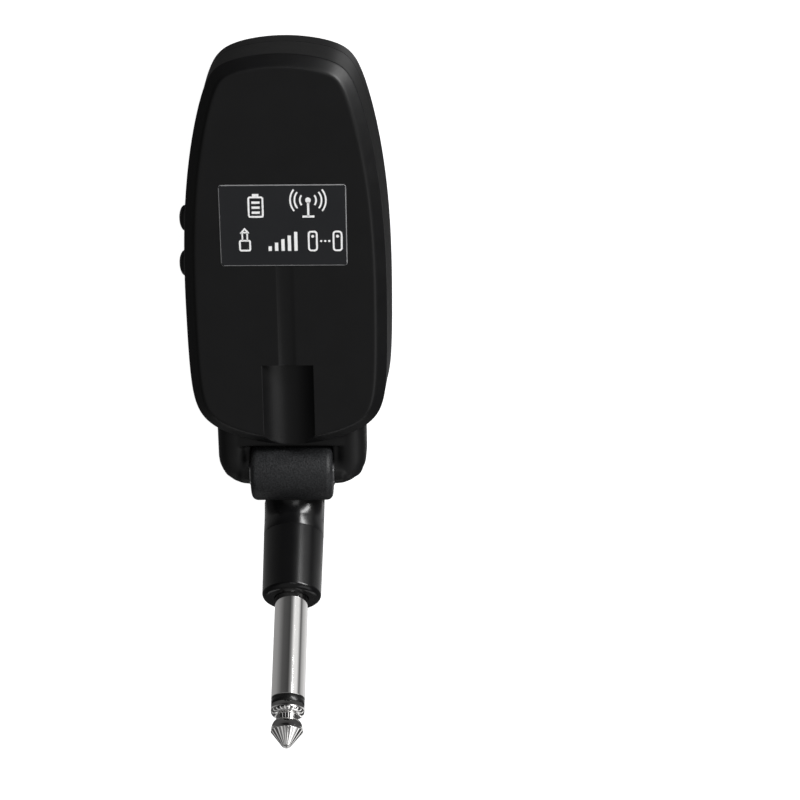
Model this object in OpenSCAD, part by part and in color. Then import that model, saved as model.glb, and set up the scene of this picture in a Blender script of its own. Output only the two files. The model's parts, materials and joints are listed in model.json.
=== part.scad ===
// Wireless guitar transmitter with a folding 6.35 mm jack plug.
// +Z points out of the rear face, +Y to the top end, and the case rests on Z = 0.

/* [Case] */
// Length of the case, from its top end to its bottom end
case_len = 75.8; // [74:0.1:78]
// Half the width of the case at its widest
case_half_w = 19.2; // [18.6:0.1:20]
// Thickness of the case, from the front face to the rear face
case_h = 19.2; // [19:0.1:20.4]
// Thickness of the case walls
wall = 1.7; // [1.5:0.1:1.9]
// Width and height of the chamfer round the rear face
chamfer = 2.1; // [1.6:0.1:2.4]
// Radius round the front face
front_round = 2.4; // [1.6:0.1:2.8]
// How far each side leans in by the top end
top_taper = 6.9; // [5:0.1:8]
// Radius of the arc across the top end
top_arc = 34; // [30:1:40]
// Radius of the arc across the bottom end
bottom_arc = 31; // [28:1:36]
// Height of the line where the two shells meet
seam_z = 7; // [6.4:0.1:7.4]

/* [Folding plug] */
// Angle of the plug from straight, towards the rear face
bend = 50.5; // [0:0.5:70]
// Distance of the hinge axis below the case's bottom end
hinge_out = 6.9; // [6.8:0.1:7.4]
// Depth of the hinge axis under the rear face
hinge_depth = 4.9; // [4.7:0.1:5.1]
// Distance from the hinge axis to the plug axis
plug_offset = 8.4; // [8.2:0.05:8.6]
// Radius of the hinge barrel
barrel_r = 5.45; // [5:0.05:5.6]
// Width of the hinge barrel
barrel_w = 15.8; // [15:0.1:16]
// Distance along the plug from the hinge to the end of the plug cover
cover_end = 23.3; // [22.8:0.1:23.4]
// Distance along the plug from the hinge to the step at the root of the cover
cover_start = 9.8; // [9.4:0.1:10.2]
// Radius of the plug cover at its root
cover_r = 5.85; // [5.6:0.05:5.85]

/* [Jack plug] */
// Radius of the jack plug's shaft
jack_r = 3.175; // [3.175]
// Length of the jack plug in front of its cover
jack_len = 30.5; // [30:0.1:31]
// Length of the black ring between the shaft and the tip
ring_len = 1.35; // [1.1:0.05:1.5]
// Length of the tip contact, from the black ring to the point
tip_len = 8.35; // [8:0.05:8.6]

/* [Controls] */
// Distance of the power button above the middle of the case
power_y = 5.8; // [5:0.1:7]
// Distance between the two buttons
button_pitch = 8.8; // [8:0.1:9.5]
// Travel of each button
button_travel = 0.3; // [0.2:0.05:0.35]
// Height that each button stands out of the case
button_out = 1.25; // [0.8:0.05:1.4]

/* [Label] */
// Width of the rear label
label_w = 23.6; // [22:0.1:24]
// Height of the rear label
label_h = 15.5; // [14:0.1:16]
// Distance of the label's centre above the middle of the case
label_y = 6.3; // [5.5:0.1:7]

/* [Hidden] */
$fn = 64;
edge_steps = 64;
slack = 0.15;
sheet = 0.15;
seam_gap = 0.2;
flare_seam = 0.35;
flare_front = 0.6;
y_top = case_len / 2;
y_bottom = -case_len / 2;
taper_y = y_bottom + 25.2;
rear_z = case_h;
chamfer_z = case_h - chamfer;

hinge_y = y_bottom - hinge_out;
hinge_z = rear_z - hinge_depth;
fold_h = plug_offset - hinge_depth;
groove_r = cover_r + slack;
groove_end = hinge_y + cover_end + 0.2;
channel_r = jack_r + 0.7;
channel_end = label_y;

pin_r = 1.4;
pin_bore_r = 0.9;
pin_fit = 0.03;
pin_left = -10.4;
pin_right = 11.5;
lug_out = 14.45;
lug_in = 8.25;
lug_corner = 6;
ridge_r = 3.2;
ridge_x = lug_out - ridge_r;
ridge_z = hinge_z - 1.5;
ridge_low_z = 9.1;
corner_x = lug_out - lug_corner;
corner_y = hinge_y + 3.2;
boss_r = 2.6;
washer_t = 0.3;
lug_top = ridge_z + ridge_r;
web_y = y_bottom - 0.8;
web_t = 1.9;
root_y = y_bottom + 4.5;
tongue_y = -32;
tongue_z = 7.3;
tongue_t = 1.5;
wire_x = -11.4;
wire_bore_r = 1.05;

socket_r = cover_r + 0.05;
core_r = 4.4;
collar_r = 3.5;
spigot_end = 14.3;
flange_t = 3.5;
end_wall = 2;
tag_t = 0.5;
shaft_end = cover_end + jack_len - tip_len - ring_len;
ring_end = shaft_end + ring_len;
rod_r = 1.25;
tube_r = 2.2;

board_z = 9;
board_t = 1;
parts_z = board_z + board_t;
button_z = 11.6;
switch_x = -14.2;
switch_l = 3.4;
plunger_l = 1.9;
channel_y = power_y - button_pitch;
usb_y = -15;
usb_w = 8.9;
usb_h = 3.2;
floor_z = 1.8;
inlay_t = 0.8;
battery_z = 2.2;
battery_l = 31;
battery_w = 22;
battery_h = 5;
battery_y = -16;
case_screw_x = 7.6;
fork_screw_x = 5.2;
fork_screw_y = -34.2;
led_x = 4;
led_y = 24;
board_screw_spots = [[-9.5, 27], [9.5, 27], [-13.2, -24.5], [13.2, -24.5]];

// ---- outline of the case, seen from the rear ----

// Half the width set by the long sides alone
function side_w(y) =
    case_half_w - top_taper * pow(max(0, (y - taper_y) / (y_top - taper_y)), 2.7);

// Half the width set by an end arc of radius r, at a distance t from that end
function arc_w(r, t) = sqrt(2 * r * max(t, 0.000001));

// Half the width of the case: the sides and the end arcs blended together
function half_width(y) = pow(pow(side_w(y), -5) + pow(arc_w(top_arc, y_top - y), -5)
    + pow(arc_w(bottom_arc, y - y_bottom), -5), -0.2);

function edge_y(i) = y_bottom * cos(180 * i / edge_steps);
function edge_side(i) = (i < 0 || i > edge_steps) ? -1 : 1;
function edge_pt(i) = [edge_side(i) * half_width(edge_y(i)), edge_y(i)];
function edge_run(i) = edge_pt(i + 1) - edge_pt(i - 1);
function edge_normal(i) = [edge_run(i).y, -edge_run(i).x] / norm(edge_run(i));
function edge_out(i, d) = edge_pt(i) + d * edge_normal(i);

// Closed outline, moved outwards by d
function outline(d) = concat(
    [for (i = [0 : edge_steps]) edge_out(i, d)],
    [for (i = [edge_steps - 1 : -1 : 1]) [-edge_out(i, d).x, edge_out(i, d).y]]);

// Solid through a list of [height, offset] levels of the outline
module loft(levels) {
    count = 2 * edge_steps;
    last = (len(levels) - 1) * count;
    points = [for (level = levels, p = outline(level[1])) [p.x, p.y, level[0]]];
    sides = [for (k = [0 : len(levels) - 2], i = [0 : count - 1], half = [0, 1])
        let (a = k * count + i, b = k * count + (i + 1) % count)
        half == 0 ? [a, a + count, b + count] : [a, b + count, b]];
    bottom = [[for (i = [0 : count - 1]) i]];
    top = [[for (i = [count - 1 : -1 : 0]) last + i]];
    polyhedron(points, concat(bottom, sides, top));
}

// ---- shared shapes ----

// Flat oblong with round ends, l long in X and w wide in Y
module oblong(l, w) {
    square([l - w, w], center = true);
    for (s = [-1, 1])
        translate([s * (l - w) / 2, 0]) circle(d = w);
}

// Flat rectangle with corners of radius r
module rounded_plate(w, h, r) {
    square([w - 2 * r, h], center = true);
    square([w, h - 2 * r], center = true);
    for (x = [-1, 1], y = [-1, 1])
        translate([x * (w / 2 - r), y * (h / 2 - r)]) circle(r);
}

// Solid of revolution about Z from a list of [radius, height] points
module turned(points) {
    rotate_extrude() polygon(points);
}

// Quarter of an arc about a centre: radii a and b, from angle t0 to t1
function arc(centre, a, b, t0, t1) =
    [for (k = [0 : 6]) let (t = t0 + (t1 - t0) * k / 6) centre + [a * cos(t), b * sin(t)]];

function unit(v) = v / norm(v);

// Path with each inner corner replaced by a curve that starts k before it
function rounded_path(path, k) = concat([path[0]],
    [for (i = [1 : len(path) - 2], t = [0 : 0.25 : 1])
        let (a = path[i] + k * unit(path[i - 1] - path[i]))
        let (b = path[i] + k * unit(path[i + 1] - path[i]))
        (1 - t) * (1 - t) * a + 2 * t * (1 - t) * path[i] + t * t * b],
    [path[len(path) - 1]]);

// Direction of a path at its point i
function run_at(p, i) =
    i == 0 ? p[1] - p[0]
    : i == len(p) - 1 ? p[i] - p[i - 1]
    : unit(p[i + 1] - p[i]) + unit(p[i] - p[i - 1]);

// Ring of n points round point i of a path, in the plane across it
function ring_at(p, i, r, n) =
    let (along = unit(run_at(p, i)), u = unit(cross(along, [0.31, 0.87, 0.4])), v = cross(along, u))
    [for (k = [0 : n - 1]) p[i] + r * (cos(360 * k / n) * u + sin(360 * k / n) * v)];

// Round wire through a list of points, with its corners eased
module wire(path, r) {
    n = 10;
    p = rounded_path(path, 0.45);
    points = [for (i = [0 : len(p) - 1], q = ring_at(p, i, r, n)) q];
    sides = [for (i = [0 : len(p) - 2], k = [0 : n - 1], half = [0, 1])
        let (a = i * n + k, b = i * n + (k + 1) % n)
        half == 0 ? [a, b, b + n] : [a, b + n, a + n]];
    start = [[for (k = [n - 1 : -1 : 0]) k]];
    finish = [[for (k = [0 : n - 1]) (len(p) - 1) * n + k]];
    polyhedron(points, concat(start, sides, finish));
}

// Cross-head screw: the top of its head is at Z = 0 and it points down
module screw(head_r, head_h, shank_r, length) {
    difference() {
        translate([0, 0, -head_h]) cylinder(head_h, head_r, head_r);
        for (turn = [0, 90])
            rotate(turn) cube([head_r, head_r / 3.5, head_h], center = true);
    }
    translate([0, 0, -head_h - length]) cylinder(length, shank_r, shank_r);
}

// Puts a shape made along +X, with its face at X = 0, on the case's left side
module on_left(y, z) {
    translate([-half_width(y) - flare_seam / 2, y, z]) children();
}

// Frame of the plug arm: the hinge axis is its X axis and the plug points along its +Z
module on_arm() {
    translate([0, hinge_y, hinge_z]) rotate([90 - bend, 0, 0]) children();
}

// Frame of the plug itself: its axis is Z
module on_plug() {
    on_arm() translate([0, -plug_offset, 0]) children();
}

// ---- shells ----

module case_screw_spots() {
    for (s = [-1, 1])
        translate([s * case_screw_x, label_y, 0]) children();
}

module fork_screw_spots() {
    for (s = [-1, 1])
        translate([s * fork_screw_x, fork_screw_y, 0]) children();
}

module board_spots() {
    for (spot = board_screw_spots)
        translate([spot.x, spot.y, 0]) children();
}

// Block that the fork passes through, grown by g on every side
module fork_passage(y0, y1, g) {
    low = ridge_low_z - ridge_r - g;
    high = lug_top + g;
    translate([0, y1, (low + high) / 2]) rotate([90, 0, 0]) linear_extrude(y1 - y0)
        rounded_plate(2 * (lug_out + g), high - low, ridge_r + g);
}

module rear_bosses() {
    case_screw_spots() translate([0, 0, seam_z + 0.05]) cylinder(rear_z, 2.8, 2.8);
    board_spots() translate([0, 0, parts_z]) cylinder(rear_z, 1.9, 1.9);
    translate([0, groove_end + 1.2, rear_z + fold_h]) rotate([90, 0, 0])
        cylinder(groove_end - y_bottom + 10, groove_r + 1.2, groove_r + 1.2);
}

module plug_grooves() {
    translate([0, groove_end, rear_z + fold_h]) rotate([90, 0, 0])
        cylinder(groove_end - y_bottom + 10, groove_r, groove_r);
    translate([0, channel_end, rear_z + fold_h]) rotate([90, 0, 0])
        cylinder(channel_end - groove_end + 2, channel_r, channel_r);
}

module side_openings() {
    for (y = [power_y, channel_y])
        on_left(y, button_z) rotate([90, 0, 90]) translate([0, 0, -3]) linear_extrude(6) oblong(5.24, 3.64);
    on_left(usb_y, button_z) rotate([90, 0, 90]) translate([0, 0, -3]) linear_extrude(6)
        oblong(usb_w + 0.2, usb_h + 0.2);
}

module seam_lip() {
    difference() {
        loft([[seam_z - 1.2, flare_seam - 0.95], [seam_z + 0.4, flare_seam - 0.95]]);
        loft([[seam_z - 2, flare_seam - wall], [seam_z + 1, flare_seam - wall]]);
    }
}

module rear_shell() {
    color("#1c1c1e") difference() {
        union() {
            difference() {
                loft([[seam_z, flare_seam], [chamfer_z, 0], [rear_z, -chamfer]]);
                difference() {
                    loft([[seam_z - 1, flare_seam - wall], [chamfer_z - 0.7, -wall],
                        [rear_z - wall, -chamfer - 0.7]]);
                    rear_bosses();
                }
            }
            seam_lip();
        }
        plug_grooves();
        fork_passage(y_bottom - 5, root_y + slack, slack);
        side_openings();
        case_screw_spots() translate([0, 0, seam_z + 1.6]) cylinder(rear_z, 1.9, 1.9);
        case_screw_spots() cylinder(rear_z, 0.95, 0.95);
        board_spots() translate([0, 0, parts_z - 1]) cylinder(5, 0.6, 0.6);
    }
}

module front_shell() {
    foot = [for (t = [0 : 15 : 90])
        [front_round * (1 - cos(t)), flare_front - front_round * (1 - sin(t))]];
    color("#1c1c1e") difference() {
        union() {
            difference() {
                loft(concat(foot, [[seam_z - seam_gap, flare_seam]]));
                loft([[floor_z, flare_front - wall - 1.2], [floor_z + 1.6, flare_front - wall],
                    [seam_z, flare_seam - wall]]);
                loft([[seam_z - 1.3, flare_seam - 0.85], [seam_z, flare_seam - 0.85]]);
                fork_passage(y_bottom - 5, root_y + slack, slack);
            }
            case_screw_spots() translate([0, 0, floor_z - 0.2]) cylinder(seam_z - floor_z + 0.2, 2.4, 2.4);
            fork_screw_spots() translate([0, 0, floor_z - 0.2]) cylinder(tongue_z - floor_z + 0.2, 2.1, 2.1);
        }
        translate([0, 0, -1]) linear_extrude(1 + inlay_t) polygon(outline(-4.4));
        case_screw_spots() translate([0, 0, floor_z]) cylinder(8, 0.82, 0.82);
        fork_screw_spots() translate([0, 0, floor_z]) cylinder(8, 0.82, 0.82);
        for (s = [-1, 1])
            translate([s * led_x, led_y, -1]) cylinder(5, 1.05, 1.05);
    }
}

module front_inlay() {
    color("#0b0b0d") difference() {
        linear_extrude(inlay_t) polygon(outline(-4.45));
        for (s = [-1, 1])
            translate([s * led_x, led_y, -1]) cylinder(3, 1.05, 1.05);
    }
}

module light_guide() {
    color("#dfe6ea") {
        for (s = [-1, 1])
            translate([s * led_x, led_y, 0.05]) cylinder(7.9, 1, 1);
        translate([0, led_y, 3.2]) cube([2 * led_x + 3, 3, 1], center = true);
    }
}

module rear_label() {
    color("#232325") translate([0, label_y, rear_z]) linear_extrude(sheet)
        rounded_plate(label_w, label_h, 0.6);
}

module case_screws() {
    color("#3a3a3c") case_screw_spots() translate([0, 0, seam_z + 2.8]) screw(1.7, 1.2, 0.8, 5.2);
}

// ---- hinge ----

// Rounded finger of one lug, on the side s, before its inner face is cut
module lug_finger(s) {
    hull() {
        for (z = [ridge_low_z, ridge_z]) {
            translate([s * ridge_x, root_y, z]) rotate([90, 0, 0]) cylinder(1, ridge_r, ridge_r, $fn = 28);
            for (t = [0 : 30 : 90])
                translate([s * (corner_x + (lug_corner - ridge_r) * cos(t)),
                    corner_y - (lug_corner - ridge_r) * sin(t), z]) sphere(ridge_r, $fn = 28);
        }
    }
}

// Boss round the hinge pin, blended into the finger
module lug_boss(s) {
    hull() {
        translate([s * (lug_in + 0.6), hinge_y, hinge_z]) rotate([0, 90, 0])
            cylinder(1.2, boss_r, boss_r, center = true, $fn = 28);
        translate([s * (ridge_x - 0.6), hinge_y + 0.9, ridge_z]) sphere(2.9, $fn = 28);
    }
}

module lug_solid(s) {
    difference() {
        union() {
            lug_finger(s);
            lug_boss(s);
        }
        translate([s * (lug_in - 10), hinge_y, hinge_z]) cube([20, 40, 40], center = true);
    }
}

module hinge_fork() {
    tongue_l = tongue_y - web_y - 0.4;
    tongue_w = 2 * lug_in + 2;
    color("#202022") difference() {
        union() {
            fork_passage(web_y, web_y + web_t, -0.3);
            translate([-tongue_w / 2, web_y + 0.4, tongue_z]) cube([tongue_w, tongue_l, tongue_t]);
            lug_solid(-1);
            lug_solid(1);
        }
        translate([pin_left, hinge_y, hinge_z]) rotate([0, 90, 0])
            cylinder(30, pin_r + pin_fit, pin_r + pin_fit);
        translate([wire_x - 0.7, hinge_y, hinge_z]) rotate([0, 90, 0])
            cylinder(pin_left - wire_x + 1, wire_bore_r, wire_bore_r);
        translate([wire_x, tongue_y, hinge_z]) rotate([90, 0, 0])
            cylinder(tongue_y - hinge_y + 0.4, wire_bore_r - 0.1, wire_bore_r - 0.1);
        translate([pin_right, hinge_y, hinge_z]) rotate([0, 90, 0]) cylinder(5, 1.9, 1.9);
        fork_screw_spots() cylinder(20, 0.95, 0.95);
    }
}

module fork_screws() {
    color("#8c8c90") fork_screw_spots() translate([0, 0, tongue_z + tongue_t + 1.1])
        screw(1.6, 1.1, 0.8, 5.5);
}

module hinge_cap() {
    color("#1c1c1e") intersection() {
        lug_solid(1);
        translate([pin_right + 0.02, hinge_y, hinge_z]) rotate([0, 90, 0]) cylinder(5, 1.88, 1.88);
    }
}

module hinge_pin() {
    color("#b9bbbe") on_arm() difference() {
        translate([pin_left, 0, 0]) rotate([0, 90, 0]) cylinder(pin_right - pin_left - 0.05, pin_r, pin_r);
        translate([pin_left - 1, 0, 0]) rotate([0, 90, 0]) cylinder(30, pin_bore_r, pin_bore_r);
        rotate([90, 0, 0]) cylinder(3, 1.1, 1.1);
    }
}

module friction_washers() {
    gap = lug_in - barrel_w / 2;
    color("#9a9ca0") on_arm() for (s = [-1, 1])
        translate([s * (barrel_w / 2 + gap / 2), 0, 0]) rotate([0, 90, 0]) difference() {
            cylinder(washer_t, 2.5, 2.5, center = true);
            cylinder(1, pin_r + 0.05, pin_r + 0.05, center = true);
        }
}

module hinge_knuckle() {
    edge = 0.7;
    half = barrel_w / 2;
    color("#202022") on_arm() difference() {
        union() {
            rotate([0, 90, 0]) turned(concat([[0, -half]],
                arc([barrel_r - edge, edge - half], edge, edge, -90, 0),
                arc([barrel_r - edge, half - edge], edge, edge, 0, 90), [[0, half]]));
            translate([0, -plug_offset, -1.5]) turned(concat([[0, 0]],
                arc([socket_r - edge, edge], edge, edge, -90, 0),
                [[socket_r, cover_start + 1.5], [0, cover_start + 1.5]]));
            translate([0, -plug_offset, 0]) cylinder(spigot_end, core_r, core_r);
        }
        translate([-half - 1, 0, 0]) rotate([0, 90, 0]) cylinder(barrel_w + 2, pin_r, pin_r);
        rotate([90, 0, 0]) cylinder(plug_offset, 1.3, 1.3);
        translate([0, -plug_offset, -0.5]) cylinder(20, 3.3, 3.3);
    }
}

// ---- plug ----

module plug_cover() {
    edge = 0.6;
    end_r = cover_r - 0.15;
    color("#1a1a1c") on_plug() turned(concat(
        [[core_r, cover_start], [cover_r, cover_start]],
        arc([end_r - edge, cover_end - edge], edge, edge, 0, 90),
        [[collar_r + 0.02, cover_end], [collar_r + 0.02, cover_end - end_wall],
            [core_r, cover_end - end_wall]]));
}

module jack_shaft() {
    flange_end = cover_end - end_wall;
    color("#d9dadc") on_plug() turned([[tube_r, 11], [3, 11], [3, flange_end - flange_t],
        [core_r - 0.1, flange_end - flange_t], [core_r - 0.1, flange_end], [collar_r, flange_end],
        [collar_r, cover_end], [jack_r, cover_end], [jack_r, shaft_end], [tube_r, shaft_end]]);
}

module jack_insulator() {
    color("#141414") on_plug() turned([[rod_r, 10], [tube_r, 10], [tube_r, shaft_end],
        [jack_r, shaft_end], [jack_r, ring_end], [rod_r, ring_end]]);
}

module jack_tip() {
    neck_r = 1.92;
    head_r = 3.03;
    color("#d9dadc") on_plug() {
        translate([0, 0, 8.6]) cylinder(ring_end - 8.6, rod_r, rod_r);
        translate([0, 0, ring_end]) turned(concat([[0, 0], [jack_r, 0]],
            arc([neck_r + 0.1, 1.05], jack_r - neck_r - 0.1, 1.1, 0, 90),
            arc([neck_r, 5.1], head_r - neck_r, 2.1, -90, 0),
            arc([0, tip_len - 0.6], 0.95, 0.6, 0, 90)));
    }
}

module jack_nut() {
    color("#c9a94e") on_plug() translate([0, 0, spigot_end + tag_t]) difference() {
        cylinder(cover_end - end_wall - flange_t - spigot_end - tag_t, 4.2, 4.2, $fn = 6);
        translate([0, 0, -1]) cylinder(10, 3, 3);
    }
}

module ground_tag() {
    color("#c7c9cc") on_plug() {
        translate([0, 0, spigot_end]) difference() {
            cylinder(tag_t, 4.1, 4.1);
            translate([0, 0, -1]) cylinder(3, 3.02, 3.02);
        }
        translate([-0.4, -3.27, 7.4]) cube([0.8, 0.24, spigot_end - 7.3]);
    }
}

module tip_tag() {
    color("#c7c9cc") on_plug() {
        translate([0, 0, 9]) difference() {
            cylinder(0.5, 2.4, 2.4);
            translate([0, 0, -1]) cylinder(3, rod_r, rod_r);
        }
        translate([-0.8, 1.6, 6.2]) cube([1.6, 0.4, 3]);
    }
}

module plug_wires() {
    pair = 0.42;
    out = 0.45;
    axis = -plug_offset;
    color("#b8322c") on_arm() wire([[pin_left, 0, pair], [-out, 0, pair], [-out, -5.4, pair],
        [-out, axis + 1.2, 3.2], [-out, axis + 1.2, 8]], 0.36);
    color("#3c3c3e") on_arm() wire([[pin_left, 0, -pair], [out, 0, -pair], [out, -5.4, -pair],
        [out, axis - 2.6, 3], [out, axis - 2.6, 8.6]], 0.36);
}

// ---- electronics ----

module main_board() {
    color("#1d5c3a") translate([0, 0, board_z]) difference() {
        intersection() {
            linear_extrude(board_t) polygon(outline(-3.4));
            translate([-30, -30.8, -1]) cube([60, 64.4, 3]);
        }
        case_screw_spots() translate([0, 0, -1]) cylinder(4, 3, 3);
        board_spots() translate([0, 0, -1]) cylinder(4, 0.75, 0.75);
    }
}

module board_screws() {
    color("#8c8c90") board_spots() translate([0, 0, board_z - 0.8]) rotate([180, 0, 0])
        screw(1.3, 0.8, 0.58, 4);
}

// Chip on the rear side of the board
module chip(x, y, w, l, h) {
    translate([x - w / 2, y - l / 2, parts_z]) cube([w, l, h]);
}

module rf_shield() {
    color("#c3c5c8") difference() {
        chip(0, 19, 13, 12, 2.2);
        chip(0, 19, 12.5, 11.5, 1.95);
    }
}

module radio_chip() {
    color("#26262a") chip(1.5, 19, 5, 5, 0.9);
}

module audio_chip() {
    color("#26262a") chip(3, -4.5, 7, 7, 1);
}

module charger_chip() {
    color("#26262a") chip(-5.5, -22, 4, 4, 0.9);
}

module board_passives() {
    color("#b08d57") {
        for (k = [0 : 4])
            chip(-2.5 + 2.2 * k, -12, 1, 1.8, 0.6);
        for (k = [0 : 3])
            chip(8.1, -26.5 + 2.6 * k, 1.8, 1, 0.6);
        for (k = [0 : 2])
            chip(-4.2, 16.5 + 2.4 * k, 1.6, 1, 0.6);
        chip(11, 14, 3.2, 2.5, 0.8);
    }
}

module chip_antenna() {
    color("#e8e6df") chip(0, 31, 8, 2, 1.2);
}

module usb_socket() {
    color("#c3c5c8") on_left(usb_y, button_z) translate([0.4, 0, 0]) rotate([90, 0, 90]) {
        difference() {
            linear_extrude(7.3) oblong(usb_w, usb_h);
            translate([0, 0, -1]) linear_extrude(7.3) oblong(usb_w - 0.6, usb_h - 0.6);
        }
        translate([-3.35, -0.35, 0.6]) cube([6.7, 0.7, 6]);
    }
}

module status_leds() {
    color("#f2efe2") for (s = [-1, 1])
        translate([s * led_x - 0.8, led_y - 0.5, board_z - 0.8]) cube([1.6, 1, 0.8]);
}

module tact_switches() {
    color("#cfd0d2") for (y = [power_y, channel_y]) difference() {
        chip(switch_x + switch_l / 2, y, switch_l, 4.6, 3.2);
        translate([switch_x - 1, y, button_z]) rotate([0, 90, 0])
            cylinder(plunger_l + button_travel + 0.2, 0.85, 0.85);
    }
}

module plunger(y) {
    color("#e9e4d6") translate([switch_x - 1, y, button_z]) rotate([0, 90, 0])
        cylinder(plunger_l, 0.8, 0.8);
}

module power_plunger() {
    plunger(power_y);
}

module channel_plunger() {
    plunger(channel_y);
}

// Domed side button with an inner flange and a stem that presses the switch
module side_button(y) {
    dome_r = 4.2;
    face_x = half_width(y) + flare_seam / 2;
    color("#1c1c1e") on_left(y, button_z) {
        intersection() {
            translate([-button_out, 0, 0]) rotate([90, 0, 90]) linear_extrude(button_out + wall + 0.7)
                oblong(5, 3.4);
            translate([dome_r - button_out, 0, 0]) sphere(dome_r);
        }
        translate([wall + 0.45, 0, 0]) rotate([90, 0, 90]) linear_extrude(0.6) oblong(6.2, 4.6);
        translate([wall + 0.8, 0, 0]) rotate([0, 90, 0])
            cylinder(face_x + switch_x - 1 - wall - 0.8, 0.9, 0.9);
    }
}

module power_button() {
    side_button(power_y);
}

module channel_button() {
    side_button(channel_y);
}

module battery_pad() {
    color("#3b3b3b") translate([-battery_w / 2 + 1, battery_y - battery_l / 2 + 1, floor_z])
        cube([battery_w - 2, battery_l - 2, battery_z - floor_z]);
}

module battery_cell() {
    color("#a9adb3") translate([0, battery_y + battery_l / 2, battery_z + battery_h / 2])
        rotate([90, 0, 0]) linear_extrude(battery_l) rounded_plate(battery_w, battery_h, 1.2);
}

module battery_leads() {
    end_y = battery_y + battery_l / 2;
    for (s = [-1, 1])
        color(s < 0 ? "#3c3c3e" : "#b8322c") wire([[s, end_y, 5], [s, end_y + 1.2, 5],
            [s, end_y + 1.2, 8.2], [s, end_y + 2, 8.2]], 0.4);
}

module battery_connector() {
    color("#efe9da") translate([-2.4, battery_y + battery_l / 2 + 2, board_z - 1.7]) cube([4.8, 3, 1.7]);
}

module board_wires() {
    pair = 0.42;
    for (s = [-1, 1])
        color(s < 0 ? "#3c3c3e" : "#b8322c") wire([[wire_x + 0.9 * s, -29.6, parts_z + 0.4],
            [wire_x + 0.9 * s, -30.8, parts_z + 1.2], [wire_x, -33.4, hinge_z + pair * s],
            [wire_x, hinge_y, hinge_z + pair * s], [pin_left, hinge_y, hinge_z + pair * s]], 0.36);
}

// ---- choice of node ----

front_shell();
rear_shell();
front_inlay();
light_guide();
rear_label();
hinge_fork();
fork_screws();
case_screws();
battery_pad();
battery_cell();
battery_leads();
battery_connector();
main_board();
board_screws();
rf_shield();
radio_chip();
audio_chip();
charger_chip();
board_passives();
chip_antenna();
usb_socket();
status_leds();
tact_switches();
power_button();
power_plunger();
channel_button();
channel_plunger();
board_wires();
hinge_pin();
hinge_cap();
friction_washers();
hinge_knuckle();
plug_cover();
jack_shaft();
jack_insulator();
jack_tip();
jack_nut();
ground_tag();
tip_tag();
plug_wires();
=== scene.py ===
"""Looks of a wireless guitar transmitter with a folding 6.35 mm jack plug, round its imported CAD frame."""
import json
import math

import bmesh
import bpy
import numpy as np
from mathutils import Matrix, Vector
from mathutils.geometry import delaunay_2d_cdt


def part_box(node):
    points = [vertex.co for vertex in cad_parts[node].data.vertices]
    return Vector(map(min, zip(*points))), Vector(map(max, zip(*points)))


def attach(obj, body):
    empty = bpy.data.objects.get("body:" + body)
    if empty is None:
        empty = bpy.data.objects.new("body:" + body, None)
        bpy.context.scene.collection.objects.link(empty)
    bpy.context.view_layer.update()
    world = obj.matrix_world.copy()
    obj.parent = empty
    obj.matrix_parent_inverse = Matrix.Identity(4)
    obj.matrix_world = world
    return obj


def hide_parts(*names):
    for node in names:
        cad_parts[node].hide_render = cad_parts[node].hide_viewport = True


MM = 0.001
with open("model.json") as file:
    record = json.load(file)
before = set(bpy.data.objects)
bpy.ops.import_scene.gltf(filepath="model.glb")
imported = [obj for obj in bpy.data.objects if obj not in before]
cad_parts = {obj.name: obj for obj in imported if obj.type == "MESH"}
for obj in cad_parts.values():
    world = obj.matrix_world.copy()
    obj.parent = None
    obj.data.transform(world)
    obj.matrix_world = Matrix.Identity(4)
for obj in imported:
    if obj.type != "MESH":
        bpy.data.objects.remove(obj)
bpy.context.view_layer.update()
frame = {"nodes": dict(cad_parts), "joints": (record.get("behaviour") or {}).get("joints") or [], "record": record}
record = frame["record"]


# ---- sizes, in millimetres, taken from the frame ----

def box_mm(node):
    low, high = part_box(node)
    return np.array(low) / MM, np.array(high) / MM


def size_mm(node):
    low, high = box_mm(node)
    return high - low


SEAM_FLARE = 0.35
FRONT_FLARE = 0.6
WALL = 1.7
CHAMFER = 2.1
FRONT_ROUND = 2.4
TOP_ARC = 34
BOTTOM_ARC = 31
TAPER = 6.9
TAPER_START = 25.2
SEAM_Z = box_mm("rear_shell")[0][2] + 1.2
SEAM_GAP = 0.2
Y_TOP = box_mm("rear_shell")[1][1] - SEAM_FLARE
Y_BOTTOM = -Y_TOP
HALF_W = box_mm("rear_shell")[1][0] - SEAM_FLARE
REAR_Z = box_mm("rear_shell")[1][2]
CHAMFER_Z = REAR_Z - CHAMFER

fold = next(j for j in frame["joints"] if j["name"] == "plug_fold")
plug_mount = next(m for m in record["mounts"] if m["name"] == "jack_plug")
HINGE = np.array(fold["pos_m"]) / MM
PLUG_DIR = np.array(plug_mount["axis"], float)
PLUG_DIR /= np.linalg.norm(PLUG_DIR)
ARM_UP = np.cross(PLUG_DIR, [1, 0, 0])
MOUNT_AT = np.array(plug_mount["pos_m"]) / MM - HINGE
PLUG_OFFSET = -MOUNT_AT @ ARM_UP
JACK_R = plug_mount["dims"]["r_mm"]
BARREL_W = size_mm("hinge_knuckle")[0]
BARREL_R = 5.45
SOCKET_R = 5.87
COVER_R = 5.85
COVER_START = 9.8
COVER_END = MOUNT_AT @ PLUG_DIR - plug_mount["dims"]["length_mm"] / 2
SHAFT_END = COVER_END + 20.8
RING_END = SHAFT_END + 1.35
TIP_LEN = 8.35

GROOVE_R = 6.0
CHANNEL_R = 3.875
FOLD_Z = HINGE[2] + PLUG_OFFSET
GROOVE_END = HINGE[1] + COVER_END + 0.2
LABEL_LOW, LABEL_HIGH = box_mm("rear_label")
LABEL_MID = (LABEL_LOW + LABEL_HIGH) / 2
CHANNEL_END = LABEL_MID[1]


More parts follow.
